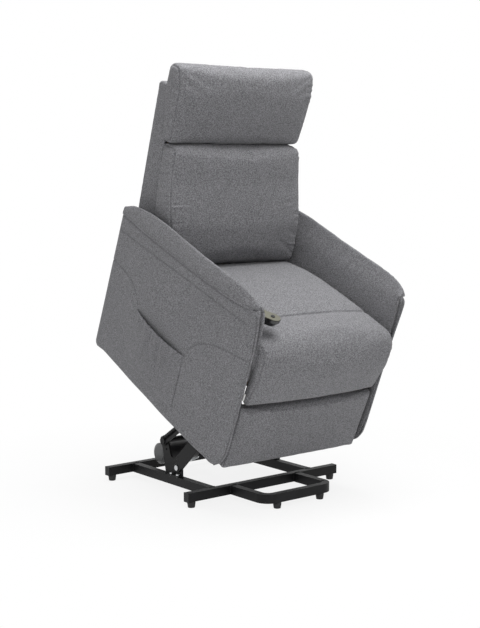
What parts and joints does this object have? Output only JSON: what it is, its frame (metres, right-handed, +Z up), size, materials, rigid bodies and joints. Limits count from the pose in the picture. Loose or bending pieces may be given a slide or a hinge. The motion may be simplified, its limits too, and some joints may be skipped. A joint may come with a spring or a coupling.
{
  "type": "lift recliner chair",
  "caption": "Upholstered powered recliner raised on a steel lift linkage, with padded arms, side pocket, headrest, leg rest, handset and loop-fronted tube base.",
  "frame": {"origin": "on the floor, at the centre of the raised chair's bounding box", "axes": "+Z up, the sitter faces -Y, +X towards the sitter's left arm"},
  "size_m": [0.6745, 0.9061, 1.4243],
  "materials": {
    "black_steel": "satin powder coat",
    "zinc_steel": "zinc plated",
    "black_plastic": "fine texture",
    "gloss_black_plastic": "gloss",
    "grey_plastic": "satin",
    "white_plastic": "satin",
    "olive_plastic": "satin",
    "black_rubber": "matte",
    "grey_fabric": "heathered weave",
    "timber": "planed"
  },
  "bodies": {
    "base": {"rear_crossbar": "black_steel", "front_crossbar": "black_steel", "left_rail": "black_steel", "right_rail": "black_steel", "front_loop": "black_steel", "crossbar_caps": "black_plastic", "base_feet": "black_rubber", "foot_screws": "zinc_steel", "left_lift_bracket": "black_steel", "right_lift_bracket": "black_steel", "bracket_bolts": "zinc_steel", "base_pivot_pins": "zinc_steel", "motor_mount": "zinc_steel", "tail_pin": "zinc_steel"},
    "lift_links": {"left_lift_link": "black_steel", "right_lift_link": "black_steel", "torque_tube": "black_steel", "drive_cranks": "black_steel"},
    "front_links": {"left_front_link": "black_steel", "right_front_link": "black_steel"},
    "actuator": {"motor_housing": "black_plastic", "motor_cap": "grey_plastic", "actuator_tube": "grey_plastic"},
    "rod": {"actuator_rod": "zinc_steel"},
    "carriage": {"left_side_plate": "black_steel", "right_side_plate": "black_steel", "carriage_pins": "zinc_steel", "seat_side_boards": "timber", "seat_cross_boards": "timber", "seat_springs": "zinc_steel", "seat_cushion": "grey_fabric", "left_arm_panel": "grey_fabric", "right_arm_panel": "grey_fabric", "left_arm_pad": "grey_fabric", "right_arm_pad": "grey_fabric", "left_arm_piping": "grey_fabric", "right_arm_piping": "grey_fabric", "side_pocket": "grey_fabric", "arm_blocks": "timber", "arm_bolts": "zinc_steel", "arm_clips": "white_plastic", "control_box": "black_plastic", "handset_holder": "black_plastic", "handset_shell": "gloss_black_plastic", "handset_cover": "olive_plastic", "hinge_plates": "black_steel", "hinge_pins": "zinc_steel"},
    "up_key": {"up_button": "black_plastic"},
    "down_key": {"down_button": "black_plastic"},
    "backrest": {"back_uprights": "timber", "back_cross_boards": "timber", "back_shell": "grey_fabric", "back_cushion": "grey_fabric", "headrest": "grey_fabric"},
    "leg_arms": {"leg_bars": "black_steel", "knee_rod": "zinc_steel"},
    "leg_struts": {"leg_links": "black_steel"},
    "leg_panel": {"leg_brackets": "black_steel", "leg_board": "timber", "leg_pad": "grey_fabric"}
  },
  "joints": [
    {"name": "lift", "type": "hinge", "parent": "base", "child": "lift_links", "pos_m": [0, 0.178, 0.159], "axis": [1, 0, 0], "range_deg": [0, 30]},
    {"name": "carriage_tilt", "type": "hinge", "parent": "lift_links", "child": "carriage", "pos_m": [0, -0.09457, 0.33601], "axis": [1, 0, 0], "range_deg": [-57, 0.5]},
    {"name": "front_link_swing", "type": "hinge", "parent": "base", "child": "front_links", "pos_m": [0, 0.099, 0.08], "axis": [1, 0, 0], "range_deg": [-0.5, 31]},
    {"name": "motor_tilt", "type": "hinge", "parent": "base", "child": "actuator", "pos_m": [0.022, 0.323, 0.084], "axis": [1, 0, 0], "range_deg": [-0.5, 12]},
    {"name": "rod_swing", "type": "hinge", "parent": "lift_links", "child": "rod", "pos_m": [0.022, 0.07999, 0.10906], "axis": [1, 0, 0], "range_deg": [-20, 0.5]},
    {"name": "recline", "type": "hinge", "parent": "carriage", "child": "backrest", "pos_m": [0, 0.25777, 0.76098], "axis": [-1, 0, 0], "range_deg": [0, 33]},
    {"name": "footrest", "type": "hinge", "parent": "carriage", "child": "leg_arms", "pos_m": [0, -0.15112, 0.40394], "axis": [-1, 0, 0], "range_deg": [0, 67.63]},
    {"name": "leg_strut_turn", "type": "hinge", "parent": "leg_arms", "child": "leg_struts", "pos_m": [0, -0.13453, 0.24681], "axis": [-1, 0, 0], "range_deg": [-116.43, 0.5]},
    {"name": "leg_panel_turn", "type": "hinge", "parent": "leg_struts", "child": "leg_panel", "pos_m": [0, -0.25503, 0.34901], "axis": [-1, 0, 0], "range_deg": [-0.5, 136.8]},
    {"name": "up_press", "type": "slide", "parent": "carriage", "child": "up_key", "axis": [0, 0.4446, -0.8957], "range_m": [0, 0.001], "stiffness_N_per_m": 600, "springref_m": -0.001},
    {"name": "down_press", "type": "slide", "parent": "carriage", "child": "down_key", "axis": [0, 0.4446, -0.8957], "range_m": [0, 0.001], "stiffness_N_per_m": 600, "springref_m": -0.001}
  ],
  "couplings": [
    {"joint": "carriage_tilt", "follows": "lift", "ratio": -1.88},
    {"joint": "front_link_swing", "follows": "lift", "ratio": 0.98513},
    {"joint": "motor_tilt", "follows": "lift", "ratio": 0.3567},
    {"joint": "rod_swing", "follows": "lift", "ratio": -0.6433},
    {"joint": "leg_strut_turn", "follows": "footrest", "ratio": -1.7142},
    {"joint": "leg_panel_turn", "follows": "footrest", "ratio": 2.0155}
  ]
}
